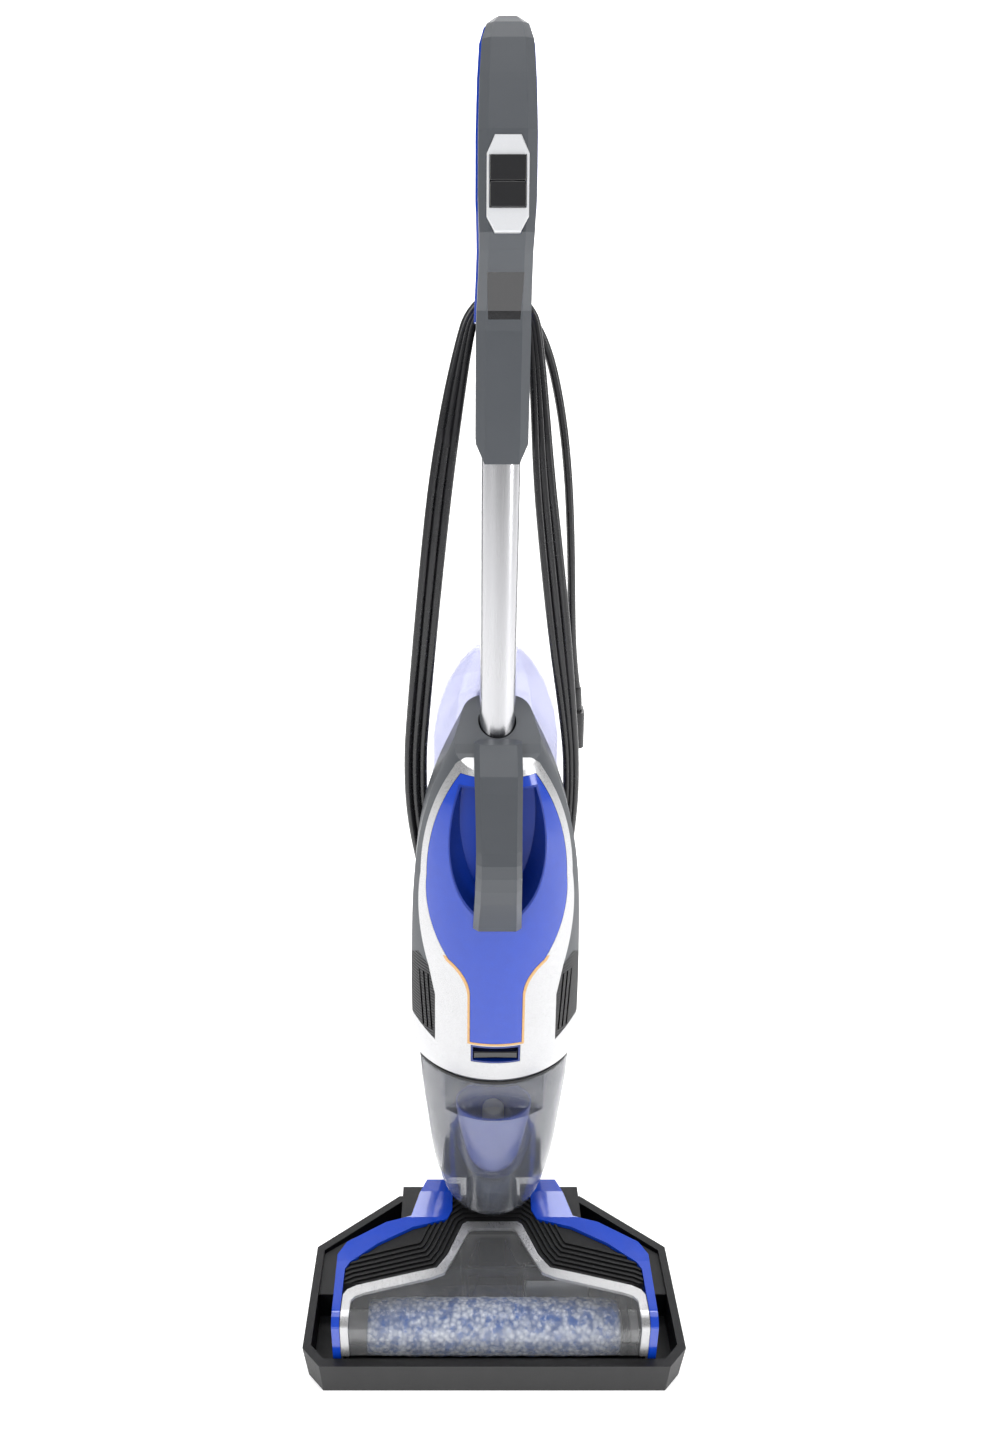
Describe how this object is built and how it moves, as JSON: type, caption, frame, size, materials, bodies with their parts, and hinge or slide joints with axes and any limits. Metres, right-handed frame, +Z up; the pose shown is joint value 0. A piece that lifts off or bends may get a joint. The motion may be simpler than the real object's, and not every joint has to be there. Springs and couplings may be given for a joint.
{
  "type": "carpet cleaner machine",
  "caption": "Upright wet floor washer with a wide floor head, a clear dirty water tank, a tall handle, a mains cord on hooks and a low storage tray.",
  "frame": {"origin": "on the floor under the tray, below the machine's middle", "axes": "+Z up, -Y to the front, +X to the right seen from the front"},
  "size_m": [0.3774, 0.264, 1.172],
  "materials": {
    "tray_plastic": "satin",
    "black_plastic": "satin",
    "ribbed_black": "matte",
    "blue_plastic": "gloss",
    "gray_plastic": "satin",
    "silver_paint": "metallic satin",
    "gold_paint": "metallic satin",
    "tube_metal": "satin",
    "white_gloss": "gloss",
    "black_gloss": "gloss",
    "clear_plastic": "clear",
    "smoked_clear": "clear",
    "violet_clear": "clear",
    "nap_fibre": "fleece",
    "core_plastic": "satin",
    "wheel_rubber": "matte",
    "pin_steel": "satin",
    "motor_casing": "satin",
    "pump_plastic": "satin",
    "board_green": "satin",
    "filter_foam": "foam",
    "float_white": "satin",
    "cord_vinyl": "gloss"
  },
  "bodies": {
    "tray": {"storage_tray": "tray_plastic"},
    "foot": {"base_housing": "black_plastic", "base_top": "ribbed_black", "trim_right": "blue_plastic", "trim_left": "blue_plastic", "suction_duct": "black_plastic", "brush_motor": "motor_casing", "squeegee": "wheel_rubber", "drive_belt": "wheel_rubber", "axle_pins": "pin_steel"},
    "window": {"brush_window": "clear_plastic", "window_frame": "silver_paint"},
    "brush": {"brush_core": "core_plastic", "brush_nap": "nap_fibre"},
    "motor_rotor": {"motor_pulley": "pin_steel"},
    "right_wheel": {"wheel_right": "wheel_rubber"},
    "left_wheel": {"wheel_left": "wheel_rubber"},
    "neck": {"neck_yoke": "black_plastic"},
    "upright": {"spine_shell": "black_plastic", "swivel_socket": "black_plastic", "grip_well": "black_plastic", "exhaust_grille": "black_plastic", "front_panel": "blue_plastic", "accent_line": "gold_paint", "bezel": "silver_paint", "side_grips": "ribbed_black", "body_shell": "gray_plastic", "latch_pocket": "blue_plastic", "carry_handle": "gray_plastic", "air_filter": "filter_foam", "fan_chamber": "black_plastic", "suction_motor": "motor_casing", "water_pump": "pump_plastic", "circuit_board": "board_green", "handle_tube": "tube_metal", "handle_front": "gray_plastic", "stem_back": "gray_plastic", "grip_back": "blue_plastic", "elbow_insert": "black_gloss", "switch_panel": "white_gloss", "lower_hook": "black_plastic", "cord_relief": "cord_vinyl", "cord_lead": "cord_vinyl", "cord_hank": "cord_vinyl", "cord_tail": "cord_vinyl", "cord_plug": "cord_vinyl"},
    "fan": {"motor_fan": "core_plastic"},
    "dirty_water_tank": {"dirty_tank": "smoked_clear", "tank_lid": "black_plastic", "tank_seal": "wheel_rubber", "tank_cup": "blue_plastic", "tank_inlet": "black_plastic"},
    "float": {"tank_float": "float_white"},
    "latch": {"tank_latch": "black_gloss"},
    "clean_water_tank": {"clean_tank": "violet_clear"},
    "cap": {"clean_cap": "black_plastic"},
    "low_button": {"button_low": "black_gloss"},
    "high_button": {"button_high": "black_gloss"},
    "trigger_lever": {"trigger": "gray_plastic"},
    "hook": {"cord_hook": "black_plastic"}
  },
  "joints": [
    {"name": "foot_lift", "type": "slide", "parent": "tray", "child": "foot", "axis": [0, 0, 1], "range_m": [0, 0.12]},
    {"name": "window_lift", "type": "slide", "parent": "foot", "child": "window", "axis": [0, -0.8, 0.6], "range_m": [0, 0.08]},
    {"name": "brush_spin", "type": "hinge", "parent": "foot", "child": "brush", "pos_m": [0, -0.112, 0.0318], "axis": [1, 0, 0], "continuous": true},
    {"name": "motor_spin", "type": "hinge", "parent": "foot", "child": "motor_rotor", "pos_m": [0, -0.068, 0.041], "axis": [1, 0, 0], "continuous": true},
    {"name": "wheel_right_spin", "type": "hinge", "parent": "foot", "child": "right_wheel", "pos_m": [0.082, 0, 0.0325], "axis": [1, 0, 0], "continuous": true},
    {"name": "wheel_left_spin", "type": "hinge", "parent": "foot", "child": "left_wheel", "pos_m": [-0.082, 0, 0.0325], "axis": [1, 0, 0], "continuous": true},
    {"name": "recline", "type": "hinge", "parent": "foot", "child": "neck", "pos_m": [0, 0.012, 0.046], "axis": [-1, 0, 0], "range_deg": [0, 60]},
    {"name": "swivel", "type": "hinge", "parent": "neck", "child": "upright", "pos_m": [0, 0.012, 0.09], "axis": [0, 0, 1], "range_deg": [-30, 30]},
    {"name": "fan_spin", "type": "hinge", "parent": "upright", "child": "fan", "pos_m": [0, -0.008, 0.33], "axis": [0, 0, 1], "continuous": true},
    {"name": "dirty_tank_slide", "type": "slide", "parent": "upright", "child": "dirty_water_tank", "axis": [0, -1, 0], "range_m": [0, 0.12]},
    {"name": "float_rise", "type": "slide", "parent": "dirty_water_tank", "child": "float", "axis": [0, 0, 1], "range_m": [0, 0.02]},
    {"name": "latch_press", "type": "slide", "parent": "upright", "child": "latch", "axis": [0, 1, 0], "range_m": [0, 0.002], "stiffness_N_per_m": 400},
    {"name": "clean_tank_slide", "type": "slide", "parent": "upright", "child": "clean_water_tank", "axis": [0, 0.9781, 0.2079], "range_m": [0, 0.11]},
    {"name": "cap_turn", "type": "hinge", "parent": "clean_water_tank", "child": "cap", "pos_m": [0, 0.1, 0.63], "axis": [0, 1, 0], "range_deg": [0, 120]},
    {"name": "button_low_press", "type": "slide", "parent": "upright", "child": "low_button", "axis": [0, 0.9755, -0.2199], "range_m": [0, 0.0012], "stiffness_N_per_m": 800},
    {"name": "button_high_press", "type": "slide", "parent": "upright", "child": "high_button", "axis": [0, 0.9755, -0.2199], "range_m": [0, 0.0012], "stiffness_N_per_m": 800},
    {"name": "trigger_pull", "type": "hinge", "parent": "upright", "child": "trigger_lever", "pos_m": [0, -0.0025, 1.103], "axis": [-1, 0, 0], "range_deg": [0, 8], "stiffness_Nm_per_rad": 0.6},
    {"name": "hook_turn", "type": "hinge", "parent": "upright", "child": "hook", "pos_m": [0, 0.05, 0.966], "axis": [0, -1, 0], "range_deg": [0, 180]}
  ],
  "couplings": [
    {"joint": "motor_spin", "follows": "brush_spin", "ratio": 2.5}
  ]
}
